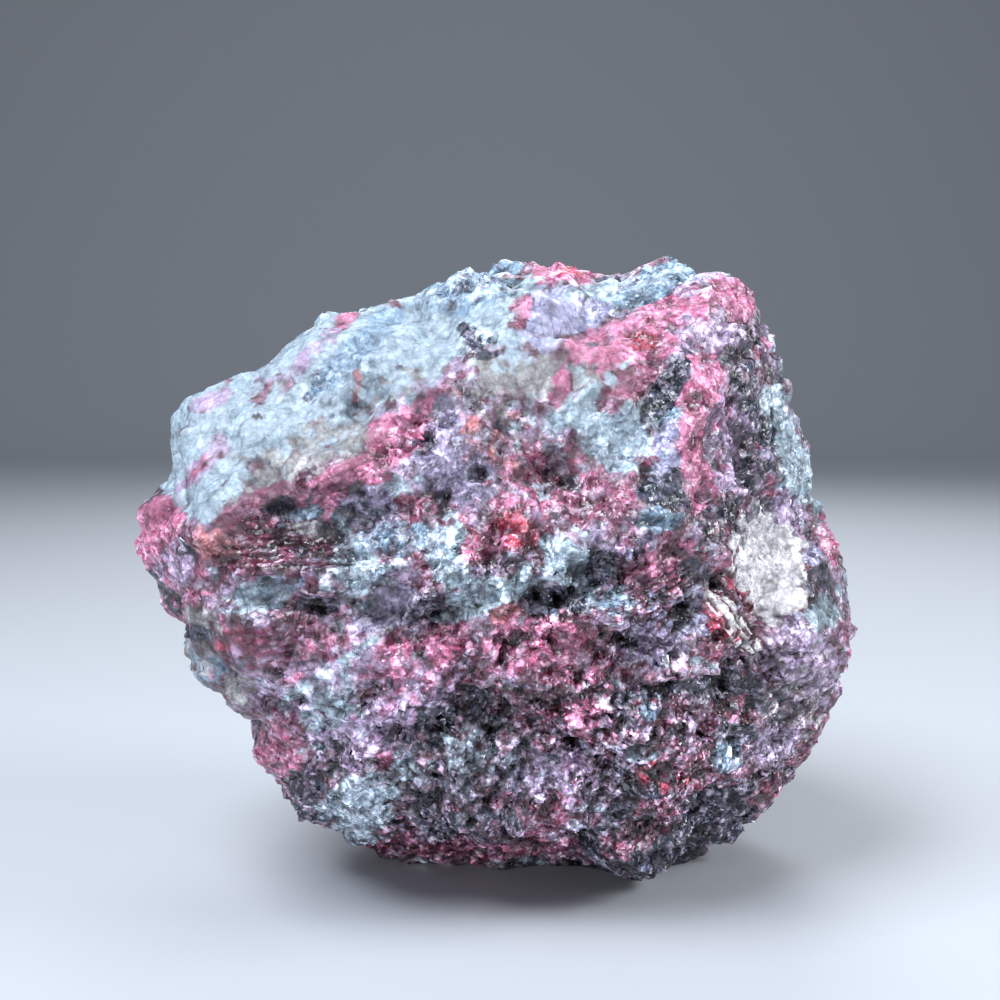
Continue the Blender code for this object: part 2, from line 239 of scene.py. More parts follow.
    "low quartz": ("quartz", 357, 812, 34, 28, 0, 1.0),
    "speckle": ("dark", 470, 740, 80, 60, -20, 0.5),
    "speckle, lower": ("dark", 460, 810, 70, 40, 0, 0.45),
    "speckle, quartz": ("quartz", 500, 745, 70, 60, 0, 0.4),
    "speckle, lilac": ("pale", 560, 770, 60, 50, 0, 0.5),
    "middle red": ("wine", 575, 655, 55, 30, 0, 0.7),
    "middle pink": ("rose", 540, 645, 50, 26, 0, 0.75),
    "bright pink": ("rose", 585, 722, 17, 20, 0, 1.2),
    "low red": ("red", 672, 784, 36, 24, 0, 1.1),
    "low deep red": ("wine", 690, 798, 18, 14, 0, 1.6),
    "dark blue": ("dark", 642, 705, 26, 24, 0, 0.9),
    "dark blue, light": ("blue", 652, 708, 18, 16, 0, 0.8),
    # Dark rock under the ledge, darkened further as painted shadow of the ledge and painted shade in the
    # hole.
    "under the ledge": ("dark", 730, 688, 52, 10, 5, 1.2),
    "hole": ("dark", 768, 700, 14, 18, 0, 1.2),
    "violet pink": ("pale", 690, 742, 34, 34, 0, 0.5),
    "violet wine": ("wine", 690, 742, 34, 34, 0, 0.5),
    "right, pinkish grey": ("pale", 800, 665, 36, 50, 10, 1.1),
    "right, pinkish grey, specks": ("dark", 790, 690, 44, 60, 10, 0.25),
    "right, tan": ("tan", 806, 660, 34, 46, 10, 0.35),
    "right, pinkish grey, lower": ("tan", 790, 715, 36, 40, 20, 0.35),
    "low right pink": ("pale", 776, 744, 22, 18, 20, 1.2),
    "low right black": ("dark", 738, 738, 22, 14, 0, 1.0),
    "blue glint": ("blue", 730, 758, 20, 14, 60, 1.2),
    "low diagonal": ("wine", 555, 815, 30, 16, 50, 0.9),
    "rim": ("wine", 480, 852, 110, 8, 0, 1.0),
    "lower middle, wine": ("wine", 600, 690, 150, 80, 0, 0.35),
    "lower left, rose": ("rose", 400, 670, 130, 50, 10, 0.3),
    "lower left, pale": ("pale", 330, 700, 110, 60, 0, 0.3),
    "lower right, wine": ("wine", 720, 800, 60, 50, 0, 0.4),
    # The foot faces down and lies in shadow: most of its dark is painted shade.
    "foot": ("dark", 662, 840, 74, 42, 15, 1.8),
    "foot, wine": ("wine", 652, 832, 56, 28, 30, 1.1),
    "foot, shade": ("dark", 728, 818, 46, 28, 35, 1.4),
    "foot, tan": ("tan", 684, 864, 30, 9, 20, 0.5),
    "rear foot": ("wine", 762, 800, 26, 12, 20, 0.9),
}

# The same on the sides that the camera doesn't see: (mineral, azimuth, elevation, half length, half
# width, roll, amount), in degrees and mm. Azimuth 0 is the front, 90 is +X and 180 is the back.
HIDDEN_PATCHES = {
    "slab over the top": ("quartz", 236, 58, 24, 12, 20, 0.62),
    "top, pink": ("rose", 130, 72, 13, 7, 30, 0.56),
    "top, blue grey": ("blue", 190, 70, 10, 5, -20, 0.5),
    "left end, quartz": ("quartz", 274, 22, 15, 10, 40, 0.62),
    "left end, rose": ("rose", 288, 4, 14, 9, 20, 0.56),
    "left end, black seam": ("dark", 266, 6, 18, 3, -35, 0.68),
    "left end, tan": ("tan", 282, -22, 12, 7, 10, 0.56),
    "left end, wine": ("wine", 262, -24, 14, 8, 10, 0.5),
    "back, rose mass": ("rose", 206, 26, 17, 10, 35, 0.68),
    "back, red heart": ("red", 203, 27, 7, 4, 35, 0.74),
    "back, white vein": ("quartz", 190, 8, 34, 3.4, 24, 0.74),
    "back, black band": ("dark", 182, -4, 30, 4.5, 18, 0.62),
    "back, speckle": ("dark", 170, 24, 15, 11, 0, 0.31),
    "back, lilac crystals": ("lilac", 158, 6, 9, 6, 50, 0.5),
    "back, grey quartz": ("grey", 222, -6, 12, 9, -20, 0.56),
    "back, quartz low": ("quartz", 176, -30, 18, 9, 10, 0.56),
    "back, wine low": ("wine", 204, -32, 14, 9, -10, 0.56),
    "back, pale low": ("pale", 150, -28, 13, 9, 20, 0.3),
    "back, coral": ("coral", 228, 10, 6, 4, 20, 0.68),
    "back, tan stain": ("tan", 214, -48, 16, 8, 0, 0.5),
    "right side, quartz": ("quartz", 112, 26, 12, 15, 30, 0.56),
    "right side, rose": ("rose", 128, 6, 13, 10, 70, 0.62),
    "right side, black seam": ("dark", 112, 4, 20, 3.6, 70, 0.68),
    # A silvery face, painted near white with its sheen as on the front.
    "right side, silvery face": ("silver", 132, -16, 9, 5, 60, 0.7),
    "right side, wine": ("wine", 104, -22, 14, 8, 10, 0.5),
    "right side, grey": ("grey", 120, -38, 12, 8, 0, 0.5),
}

# Each mineral: its darker colour and its lighter one as they look on a screen (0 to 255), its roughness,
# and how much of it is everywhere. They lie over each other in this order, the last one on top.
MINERALS = {
    "wine": ((88, 32, 52), (164, 84, 114), 0.24, 0.44),
    "pale": ((168, 136, 172), (230, 206, 240), 0.26, 0.34),
    "lilac": ((146, 142, 182), (214, 214, 246), 0.22, 0.06),
    "rose": ((174, 68, 106), (240, 150, 188), 0.26, 0.26),
    "coral": ((172, 90, 98), (232, 152, 154), 0.28, 0.06),
    "red": ((150, 34, 56), (224, 88, 114), 0.22, 0.04),
    "grey": ((102, 92, 118), (180, 166, 198), 0.20, 0.26),
    "tan": ((128, 126, 126), (196, 192, 190), 0.42, 0.06),
    "quartz": ((148, 168, 184), (210, 230, 241), 0.22, 0.26),
    "blue": ((84, 116, 148), (184, 212, 230), 0.22, 0.06),
    # The silvery face: pale rock whose colour is painted near white with the sheen of its cleavage face.
    "silver": ((232, 226, 230), (255, 252, 252), 0.24, -0.30),
    "dark": ((12, 14, 22), (78, 82, 102), 0.26, 0.15),
}
BARE_COLOUR, BARE_ROUGHNESS = (104, 62, 76), 0.3  # where no mineral lies

# How crisp the grains are, from 0 where the rock is calm to 1 where each grain stands out. It is
# CRISPNESS, and (x, y, half length, half width, roll, change) changes it on the front, in pixels.
CRISPNESS = 0.39
CRISPER_BEHIND = 0.22  # the change on the sides that the camera doesn't see
CRISP_MINERALS = {"quartz": -0.1, "silver": -0.2, "tan": -0.1, "dark": 0.1}
CRISP_PATCHES = {
    "slab": (300, 400, 180, 70, 27, -0.4),
    "slab, upper end": (440, 325, 125, 50, 22, -0.25),
    "slab, right end": (560, 350, 80, 48, -10, -0.3),
    "slab, lower left": (205, 470, 60, 50, 60, -0.35),
    "left red": (170, 530, 45, 34, 90, 0.05),
    "tan end": (205, 665, 52, 56, -35, -0.2),
    "slab, specks": (477, 337, 24, 26, 90, 0.45),
    "slab, pink end": (520, 308, 20, 22, 0, 0.35),
    "top, blue dark": (474, 282, 46, 20, 20, 0.25),
    "slab, crease": (335, 368, 64, 14, 42, 0.4),
    "lower front": (500, 780, 230, 112, 0, 0.33),
    "lower right": (700, 740, 130, 120, 0, 0.30),
    "middle": (500, 600, 170, 60, 0, 0.2),
    "striated block": (676, 600, 48, 42, 38, -0.05),
    "right, pinkish grey": (800, 668, 42, 50, 10, 0.05),
    "pink mass": (710, 425, 34, 74, 0, -0.10),
    "right": (760, 480, 60, 150, 10, 0.12),
    "middle grey": (545, 425, 110, 60, 0, -0.06),
    "smoky flat crystal": (385, 608, 26, 20, 35, -0.3),
    "magenta crystal": (396, 432, 30, 24, 45, 0.15),
}
PATCH_BORDER = 0.75  # the width of a patch's soft border, as a share of its size
PATCH_WARP, PATCH_WARP_SIZE = 0.50, 3.0
LEFT_IN_PATCH = 0.17  # the share of the other minerals that stays inside a patch
DRIFTS = ((9.0, 0.26), (4.0, 0.32), (1.9, 0.14))  # how the amounts change over the stone: (size, change)
DRIFT_LIMIT = 4  # the drift fades out as what is everywhere of a mineral falls under 1 / DRIFT_LIMIT

# How far the patches reach round the stone, by cosines of directions from its middle. The front's
# patches end where the cosine to the camera's line of sight is FRONT_END, after a soft border. A hidden
# patch is full where the cosine to its own direction is HIDDEN_FULL or more, and ends where it is 0.
FRONT_END, FRONT_BORDER = 0.30, 0.2
HIDDEN_FULL = 0.5

# Soft noise is shifted by these, so that no two uses of it are alike.
PIT_SHIFT, GRIT_SHIFT, WARP_SHIFT, FINE_WARP_SHIFT, DRIFT_SHIFT = 3.0, 7.0, 31.0, 37.0, 5.0

# Cleavage steps: (x, y, half length, half width, roll, spacing, depth), in pixels but for the depth.
# Their edges run along the length.
CLEAVAGE_STEPS = {
    "silvery cleavage": (778, 572, 84, 46, 118, 15, 0.30),
    "striated block": (676, 600, 48, 42, 38, 13, 0.70),
    "maroon laminae": (275, 552, 60, 26, 4, 12, 0.60),
    "coral": (222, 545, 36, 20, 12, 12, 0.35),
    "streak": (345, 478, 60, 18, 28, 14, 0.35),
    "right corner": (735, 460, 70, 24, 118, 15, 0.40),
}
STEP_WARP = 0.35
GROOVE_SHARPNESS = 3  # how closely the wine red keeps to the deep end of a step

# Fine stripes of red oxide along the cleavage: (x, y, half length, half width, roll, spacing,
# strength), in pixels.
STRIPES = {
    "striated block": (672, 598, 46, 38, 38, 6.5, 1.0),
    "maroon laminae": (275, 550, 64, 26, 3, 7.5, 0.9),
    "slivers": (742, 626, 60, 24, 126, 9, 1.0),
    "silvery face": (786, 570, 84, 38, 112, 12, 0.22),
    "streak": (330, 488, 60, 14, 28, 7, 0.5),
}
STRIPE_WARP = 0.45
STRIPE_COLOUR = (84, 26, 44)
STRIPE_EDGES = (0.35, 0.85)  # where the red starts and is full, as shares of the spacing

# The hollows get more of the black mineral and painted shade, and the ridges more of the pale mineral.
HOLLOW_ROUNDS = 200
HOLLOW_DEPTH = 1.2
DARK_IN_HOLLOWS, PALE_ON_RIDGES = 0.34, 0.15
WINE_IN_GROOVES = 1.4
UNSHADED_SILVER = 0.7  # how much of the painted shade in its hollows a silvery face lacks

# The fine broken surface: (size, tilt, step) of its chunks, then its pits and its grit.
FINE_CHUNKS = ((3.0, 0.32, 0.50), (1.4, 0.36, 0.24))
CHUNK_BORDER = 0.10
CALM_CHUNKS, CRISP_CHUNKS = 0.32, 1.1  # how high they are in calm rock, and how much crispness adds
TILT_DRAW, STEP_DRAW = Vector((17, 3, 5)), Vector((2, 19, 4))
PIT_SIZE, PIT_START, PIT_DEPTH = 2.4, 0.28, 1.54
GRIT_SIZE, GRIT_DEPTH = 0.8, 0.10
CUT_OFF = 97  # the percentile of the relief above which it is cut off level
MOST_OUT = 0.1  # how far the relief sticks out of the solid at most
SHADE_DEPTH = 1.8  # how far under the highest relief a place is in full shade
SHADE_IN_HOLLOWS = 0.25  # how much of that shade a hollow of the stone adds

# The loose-looking grains on the surface, mostly sunk in it: cuboids with their corners moved.
GRAIN_PIECES = 2
GRAINS_EACH = 15000
GRAIN_HALF_SIZES = (0.2, 0.56)
GRAIN_SLIMNESS = 0.45
CORNER_MOVE = 0.22
CALM_GRAINS = 0.06  # how many of them lie in calm rock, for about 1 in crisp rock
SUNK, LESS_SUNK = 1.05, 0.2  # how deep a grain's middle lies, in half sizes, and how much less if crisp
LEAST_HEIGHT = 1.2  # they lie on squares that are higher than this over the table
LEAST_LIGHT = 0.25  # a grain sticks out, so that it is never in full shade

# The material. Its grains come in four sizes, and the other rows have a number for each.
GRAIN_SIZES = (1.9, 0.95, 0.45, 0.24)
TONE_WEIGHTS = (0.28, 0.28, 0.27, 0.17)  # how much they decide how light a place is
# The borders of the grains get painted shade, as of the crevices between them.
BORDER_DARKNESS = (0.6, 0.7, 0.45)  # of the borders between them in crisp rock; the smallest have none
FACE_LEANS = (0.9, 0.9, 0.75, 0.45)  # how far their broken faces lean
CALM_BORDERS = 0.2  # the painted shade of the borders in calm rock
BORDER_EDGES = (0.45, 0.85)  # where a border starts and is full, in sizes from the grain's middle
BENDING, BENDING_SIZE = 0.5, 1.0  # how far the borders of the grains wander, and over what size
MIXING_SIZE, MIXING_SHIFT = 1.6, 11.0
SOFT_MIXING, GRAIN_MIXING = 1.21, 0.242  # how far the minerals wander, softly and from grain to grain
SOFTNESS = 0.22
# Painted glints of light on the grains' faces, and painted shade in the gaps between the grains.
SPECKLES = {  # over all the minerals: (size, draw, where they start and are full, colour, the most)
    "painted_glints": (1.1, 41, (0.62, 0.78), (236, 218, 240), 0.55),
    "painted_gap_shade": (1.0, 53, (0.68, 0.76), (34, 18, 28), 0.85),
}
SPECKLE_MIXING = 0.25  # how far they differ from grain to grain
CALM_SPECKLES = 0.1  # the share of them in calm rock
TONE_DRAW, ROUGH_DRAW, LEAN_DRAW = 90, 60, 70  # which random draws each of these starts from
SHADING = (0.10, 1.04)  # the brightness in full shade and in none

# In calm rock and in crisp rock:
DEEPER = (-0.4, -2.4)  # the gamma of the lightest grain's colour over the darkest one's, in doublings
LIGHTER = (0.9, 6.0)  # the lightest grain's brightness over the darkest one's, in doublings
BRIGHTNESS = (0.79, 1.96)  # the brightness as a whole, as many small faces catch the light
FACE_STRENGTH = (0.35, 1.3)  # how much of their lean the broken faces show

DULL, DULL_END = 0.62, 0.6  # the roughness of calm, sugary rock, and the crispness where it ends
ROUGH_START, ROUGH_RANGE = 0.08, 0.2  # a grain's starts this far under its mineral's, and varies by this
ROCK_IOR = 1.7
BUMP_SIZE, BUMP_STRENGTH, BUMP_DEPTH = 0.35, 0.4, 0.1  # the fine grit on each grain


def smooth_step(share):
    share = np.clip(share, 0, 1)
    return share * share * (3 - 2 * share)


def noise_over(places, size, shift=0.0):
    """Soft noise from about -1 to 1 at each place, with bumps of this size."""
    off = Vector((shift, 2 * shift, -shift))
    return np.array([noise.noise(Vector(place) / size + off) for place in places])


# ---- The stone's fine surface ----


def ball_of_squares(side):
    """Unit vectors over a ball of six sides of side x side squares, its squares, and their flat map."""
    steps = np.tan(np.linspace(-1, 1, side + 1) * math.pi / 4)
    u, v = np.meshgrid(steps, steps, indexing="ij")
    one = np.ones_like(u)
    sides = [(one, u, v), (-one, v, u), (v, one, u), (u, -one, v), (u, v, one), (v, u, -one)]
    points = np.stack([np.stack(side_points, -1) for side_points in sides]).reshape(-1, 3)
    points /= np.linalg.norm(points, axis=1)[:, None]
    _, first, one_of = np.unique(points.round(7), axis=0, return_index=True, return_inverse=True)

    grid = np.arange((side + 1) ** 2).reshape(side + 1, side + 1)
    corners = np.stack([grid[:-1, :-1], grid[1:, :-1], grid[1:, 1:], grid[:-1, 1:]], -1).reshape(-1, 4)
    squares = np.concatenate([corners + k * (side + 1) ** 2 for k in range(6)])

    across, up = np.meshgrid(np.linspace(0, 1, side + 1), np.linspace(0, 1, side + 1), indexing="ij")
    held = MAP_MARGIN + (1 - 2 * MAP_MARGIN) * np.stack([across, up], -1).reshape(-1, 2)
    flat = np.concatenate([(held + (k % 3, k // 3)) / (3, 2) for k in range(6)])
    return points[first], one_of.reshape(-1)[squares], flat[squares]


def solid_tree():
    """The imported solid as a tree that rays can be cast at, in mm."""
    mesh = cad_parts[NODE].data
    corners = [vertex.co / MM for vertex in mesh.vertices]
    return BVHTree.FromPolygons(corners, [face.vertices for face in mesh.polygons])


def reach_of(tree, ways):
    """How far the solid reaches from the stone's middle along each unit vector."""
    return np.array([tree.ray_cast(STONE_MIDDLE, Vector(way))[3] for way in ways])


def chunk_height(place, size, tilt, step):
    """The height of rock that has broken in chunks of one size, each flat and with a tilt of its own."""
    distances, seeds = noise.voronoi(place / size)
    heights = []
    for seed in seeds[:2]:
        lean = 2 * noise.cell_vector(seed + TILT_DRAW) - Vector((1, 1, 1))
        level = step / 2 * noise.cell(seed + STEP_DRAW)
        heights.append(level + tilt * size * lean.dot(place / size - seed))
    share = (1 + float(smooth_step((distances[1] - distances[0]) / CHUNK_BORDER))) / 2
    return heights[0] * share + heights[1] * (1 - share)


def fine_relief(places, crisp):
    """How far the fine broken surface lies from the solid's, in mm, at each place."""
    chunks = [sum(chunk_height(Vector(place), *chunk) for chunk in FINE_CHUNKS) for place in places]
    pits = np.clip(noise_over(places, PIT_SIZE, PIT_SHIFT) - PIT_START, 0, None)
    grit = noise_over(places, GRIT_SIZE, GRIT_SHIFT)
    broken = np.array(chunks) * (CALM_CHUNKS + CRISP_CHUNKS * crisp)
    return broken - PIT_DEPTH * crisp * pits + GRIT_DEPTH * grit


# ---- Where each mineral is ----


def camera_axes():
    right = Vector((1, 0, 0))
    ahead = Vector((0, math.cos(CAMERA_PITCH), -math.sin(CAMERA_PITCH)))
    return np.array(right), np.array(ahead), np.array(right.cross(ahead))


def picture_places(places):
    """Where each place is in the camera's picture, in pixels from its middle, with y upward."""
    right, ahead, up = camera_axes()
    seen = places - np.array(CAMERA_PLACE)
    depth = seen @ ahead
    return FOCAL_PIXELS * (seen @ right) / depth, FOCAL_PIXELS * (seen @ up) / depth


def turned(s, t, roll):
    turn = math.radians(roll)
    return math.cos(turn) * s + math.sin(turn) * t, math.cos(turn) * t - math.sin(turn) * s


def within(s, t, warp):
    """How much a place at (s, t) half sizes from a patch's middle belongs to the patch, from 0 to 1."""
    return smooth_step((1 - np.hypot(s, t) + PATCH_WARP * warp) / PATCH_BORDER + 0.5)


def front_share(patch, view, warp):
    """How much each place belongs to a patch on the front, and how far across it lies, in pixels."""
    x, y, half_length, half_width, roll = patch
    across, up, faces_camera = view
    s, t = turned(across - (x - PICTURE / 2), up - (PICTURE / 2 - y), roll)
    return within(s / half_length, t / half_width, warp) * faces_camera, t


def crispness(values, view, warp):
    *_, faces_camera = view
    crisp = CRISPNESS + CRISPER_BEHIND * (1 - faces_camera)
    crisp = crisp + sum(change * np.clip(values[name], 0, 1) for name, change in CRISP_MINERALS.items())
    for *patch, change in CRISP_PATCHES.values():
        crisp = crisp + change * front_share(patch, view, warp)[0]
    return np.clip(crisp, 0, 1)


def cleavage(view, warp):
    """How far the cleavage steps are cut into each place, in mm, and how much it lies in a groove."""
    depth, groove = 0, 0
    for *patch, spacing, deepest in CLEAVAGE_STEPS.values():
        share, t = front_share(patch, view, warp)
        along = (t / spacing + STEP_WARP * warp) % 1
        depth = depth + deepest * share * along
        groove = groove + share * along**GROOVE_SHARPNESS
    return depth, groove


def stripes(view, warp):
    """A number for each place that grows by one from stripe to stripe, and how strong the stripes are."""
    number, strength = np.zeros_like(warp), np.zeros_like(warp)
    for *patch, spacing, strongest in STRIPES.values():
        share, t = front_share(patch, view, warp)
        number = np.where(strongest * share > strength, t / spacing + STRIPE_WARP * warp, number)
        strength = np.maximum(strength, strongest * share)
    return number, strength


def direction(azimuth, elevation):
    turn, rise = math.radians(azimuth), math.radians(elevation)
    return Vector((math.sin(turn) * math.cos(rise), -math.cos(turn) * math.cos(rise), math.sin(rise)))


def hidden_share(patch, ways, reach, warp):
    _, azimuth, elevation, half_length, half_width, roll, _ = patch
    centre = direction(azimuth, elevation)
    level = Vector((0, 0, 1)).cross(centre).normalized()
    facing = ways @ np.array(centre)
    s, t = turned(ways @ np.array(level) * reach, ways @ np.array(centre.cross(level)) * reach, roll)
    return within(s / half_length, t / half_width, warp) * smooth_step(facing / HIDDEN_FULL)


def everywhere_amount(number, everywhere, places):
    drift = sum(change * noise_over(places, size, DRIFT_SHIFT * number) for size, change in DRIFTS)
    return everywhere + drift * min(1, DRIFT_LIMIT * abs(everywhere))


def mineral_amounts(ways, reach, places, view, warp, hollow, groove):
    """How much of each mineral is at each place: at 0.5, half of the grains are of that mineral."""
    amounts = {}
    for number, (name, mineral) in enumerate(MINERALS.items()):
        amounts[name] = everywhere_amount(number, mineral[-1], places)
    shares = [(patch, hidden_share(patch, ways, reach, warp)) for patch in HIDDEN_PATCHES.values()]
    shares += [(patch, front_share(patch[1:6], view, warp)[0]) for patch in FRONT_PATCHES.values()]
    for patch, share in shares:
        amount = patch[-1]
        for name in amounts:
            amounts[name] = amounts[name] * (1 - (1 - LEFT_IN_PATCH) * min(1, amount) * share)
        amounts[patch[0]] = amounts[patch[0]] + amount * share
    open_rock = 1 - np.clip(amounts["silver"], 0, 1)
    amounts["dark"] = amounts["dark"] + DARK_IN_HOLLOWS * open_rock * np.clip(hollow, 0, 1)
    amounts["pale"] = amounts["pale"] + PALE_ON_RIDGES * open_rock * np.clip(-hollow, 0, 1)
    amounts["wine"] = amounts["wine"] + WINE_IN_GROOVES * groove
    amounts["lilac"] = amounts["lilac"] - WINE_IN_GROOVES * groove
    amounts["silver"] = amounts["silver"] - WINE_IN_GROOVES / 2 * groove
    return amounts


def set_attributes(mesh, values, places):
    """Stores the numbers that the material reads at each point, and the place it draws grains by."""
    for name, value in values.items():
        mesh.attributes.new(name, "FLOAT", "POINT").data.foreach_set("value", value.astype(np.float32))
    flat = places.astype(np.float32).ravel()
    mesh.attributes.new("place", "FLOAT_VECTOR", "POINT").data.foreach_set("vector", flat)


def softened(values, squares, rounds):
    """The values at the points, each averaged with its neighbours' in every round."""
    starts, ends = squares.ravel(), np.roll(squares, -1, axis=1).ravel()
    neighbours = np.bincount(starts, minlength=len(values))
    for _ in range(rounds):
        values = (values + np.bincount(starts, values[ends], len(values)) / neighbours) / 2
    return values


def patch_warp(places):
    coarse = noise_over(places, PATCH_WARP_SIZE, WARP_SHIFT)
    return coarse + noise_over(places, PATCH_WARP_SIZE / 3, FINE_WARP_SHIFT) / 2


def unshaded_share(relief, crisp, hollow, silver):
    """0 where the material paints a place in full shade, and 1 where it paints none. A silvery face gets
    less of it.
    """
    height = 1 + (relief - MOST_OUT) / SHADE_DEPTH - SHADE_IN_HOLLOWS * crisp * np.clip(hollow, 0, 1)
    height = smooth_step(height)
    return height + UNSHADED_SILVER * np.clip(silver, 0, 1) * (1 - height)


def stone_surface():
    """The stone's points in mm, its squares, their flat map, and the numbers at each point."""
    ways, squares, flat = ball_of_squares(BALL_SIDE)
    reach = reach_of(solid_tree(), ways)
    places = np.array(STONE_MIDDLE) + ways * reach[:, None]
    hollow = (softened(reach, squares, HOLLOW_ROUNDS) - reach) / HOLLOW_DEPTH
    warp = patch_warp(places)
    _, ahead, _ = camera_axes()
    faces_camera = smooth_step((FRONT_END - ways @ ahead) / FRONT_BORDER)
    view = (*picture_places(places), faces_camera)
    depth, groove = cleavage(view, warp)
    values = mineral_amounts(ways, reach, places, view, warp, hollow, groove)
    crisp = crispness(values, view, warp)
    relief = fine_relief(places, crisp) - depth
    relief = np.minimum(relief - np.percentile(relief, CUT_OFF), 0) + MOST_OUT
    fade = smooth_step((places[:, 2] - BASE_START) / BASE_FADE)
    moved = places + ways * (relief * fade)[:, None]
    values["crisp"] = crisp
    values["stripe"], values["striped"] = stripes(view, warp)
    # The material reads this height as painted shade: full where the relief lies deep, none at its top.
    values["height"] = unshaded_share(relief, crisp, hollow, values["silver"])
    return within_box(moved), squares, flat, values


def within_box(places):
    low, high = (np.array(corner) / MM for corner in cad_box)
    return np.clip(places, low, high)


def stone_piece(surface):
    places, squares, flat, values = surface
    mesh = bpy.data.meshes.new("stone")
    mesh.from_pydata((places * MM).tolist(), [], squares.tolist())
    mesh.uv_layers.new(name="OFBake").data.foreach_set("uv", flat.ravel())
    set_attributes(mesh, {**values, "facets": np.ones(len(places))}, places)
    mesh.shade_smooth()
    return new_piece("rough_stone", mesh)


def new_piece(name, mesh):
    piece = bpy.data.objects.new(name, mesh)
    bpy.context.scene.collection.objects.link(piece)
    return piece


# ---- The grains on the surface ----

CUBE = np.array([(x, y, z) for x in (-1, 1) for y in (-1, 1) for z in (-1, 1)], float)
CUBE_SIDES = [(0, 1, 3, 2), (4, 6, 7, 5), (0, 4, 5, 1), (2, 3, 7, 6), (0, 2, 6, 4), (1, 5, 7, 3)]
CUBE_TRIANGLES = np.array([corners for a, b, c, d in CUBE_SIDES for corners in ((a, b, c), (a, c, d))])
MAP_COLUMNS, MAP_ROWS = 4, 3  # the flat map of one grain's triangles
MAP_CORNERS = np.array([(0.1, 0.1), (0.9, 0.1), (0.1, 0.9)])  # of a triangle, in its own square of it


def turns(draws, count):
    """Random turns, as count 3 x 3 matrices."""
    w, x, y, z = draws.normal(size=(4, count))
    size = np.sqrt(w * w + x * x + y * y + z * z)
    w, x, y, z = w / size, x / size, y / size, z / size
    rows = [
        (1 - 2 * (y * y + z * z), 2 * (x * y - z * w), 2 * (x * z + y * w)),
        (2 * (x * y + z * w), 1 - 2 * (x * x + z * z), 2 * (y * z - x * w)),
        (2 * (x * z - y * w), 2 * (y * z + x * w), 1 - 2 * (x * x + y * y)),
    ]
    return np.stack([np.stack(row, -1) for row in rows], 1)


def chosen_squares(draws, surface, count):
    """Squares drawn by their area and crispness, leaving out the lowest ones."""
    places, squares, _, values = surface
    a, b, c, d = (places[squares[:, k]] for k in range(4))
    across = np.cross(c - a, d - b)
    area = np.linalg.norm(across, axis=1) / 2
    wanted = area * (CALM_GRAINS + values["crisp"][squares].mean(1)) * (a[:, 2] > LEAST_HEIGHT)
    chosen = draws.choice(len(squares), count, p=wanted / wanted.sum())
    return chosen, across[chosen] / (2 * area[chosen, None])


def grain_corners(draws, middle, outward, crisp):
    count = len(middle)
    least, most = GRAIN_HALF_SIZES
    size = least + (most - least) * draws.random(count) ** 2
    shape = 1 - GRAIN_SLIMNESS * draws.random((count, 3))
    corners = CUBE + CORNER_MOVE * draws.uniform(-1, 1, (count, 8, 3))
    corners = corners * (size[:, None] * shape)[:, None, :]
    corners = np.einsum("nij,nkj->nki", turns(draws, count), corners)
    middle = middle - outward * (size * (SUNK - LESS_SUNK * crisp))[:, None]
    return middle[:, None, :] + corners


def grain_map(count):
    """A flat map with a small square for each grain, and a smaller one for each of its triangles."""
    side = math.ceil(math.sqrt(count))
    grain = np.arange(count)
    start = np.stack([grain % side, grain // side], -1) / side
    slots = [(k % MAP_COLUMNS, k // MAP_COLUMNS) for k in range(len(CUBE_TRIANGLES))]
    one = (np.array(slots)[:, None, :] + MAP_CORNERS) / (MAP_COLUMNS, MAP_ROWS)
    return start[:, None, None, :] + one / side


def grain_piece(surface, number):
    draws = np.random.default_rng(number + 1)
    places, squares, _, values = surface
    chosen, outward = chosen_squares(draws, surface, GRAINS_EACH)
    weights = draws.dirichlet(np.ones(4), GRAINS_EACH)
    middle = np.einsum("nk,nkj->nj", weights, places[squares[chosen]])
    own = {
        name: np.einsum("nk,nk->n", weights, value[squares[chosen]]) for name, value in values.items()
    }
    own["height"] = LEAST_LIGHT + (1 - LEAST_LIGHT) * own["height"]
    own["facets"] = np.zeros(GRAINS_EACH)
    corners = within_box(grain_corners(draws, middle, outward, own["crisp"]).reshape(-1, 3))

    triangles = (CUBE_TRIANGLES + 8 * np.arange(GRAINS_EACH)[:, None, None]).reshape(-1, 3)
    mesh = bpy.data.meshes.new("grains")
    mesh.from_pydata((corners * MM).tolist(), [], triangles.tolist())
    mesh.uv_layers.new(name="OFBake").data.foreach_set("uv", grain_map(GRAINS_EACH).ravel())
    repeated = {name: np.repeat(value, 8) for name, value in own.items()}
    set_attributes(mesh, repeated, corners)
    return new_piece(f"mineral_grains_{number + 1}", mesh)


# ---- The material ----


def linear(colour):
    """A colour as it looks on a screen (0 to 255) as amounts of light."""
    shares = [part / 255 for part in colour]
    return tuple(part / 12.92 if part <= 0.04045 else ((part + 0.055) / 1.055) ** 2.4 for part in shares)


def put(tree, socket, value):
    """Links the socket to another one, or sets it."""
    if isinstance(value, bpy.types.NodeSocket):
        tree.links.new(value, socket)
    elif isinstance(value, tuple) and socket.type == "RGBA":
        socket.default_value = (*value, 1.0)
    else:
        socket.default_value = value


def add(tree, kind, inputs, **settings):
    """Adds one node, with its settings and then its inputs."""
    node = tree.nodes.new("ShaderNode" + kind)
    for name, value in settings.items():
        setattr(node, name, value)
    for name, value in inputs.items():
        put(tree, node.inputs[name], value)
    return node


def maths(tree, operation, first, second=0.0, third=0.0):
    return add(tree, "Math", {0: first, 1: second, 2: third}, operation=operation).outputs[0]


def vectors(tree, operation, first, second):
    """Vector maths. For SCALE the second is a number."""
    last = "Scale" if operation == "SCALE" else 1
    return add(tree, "VectorMath", {0: first, last: second}, operation=operation).outputs[0]


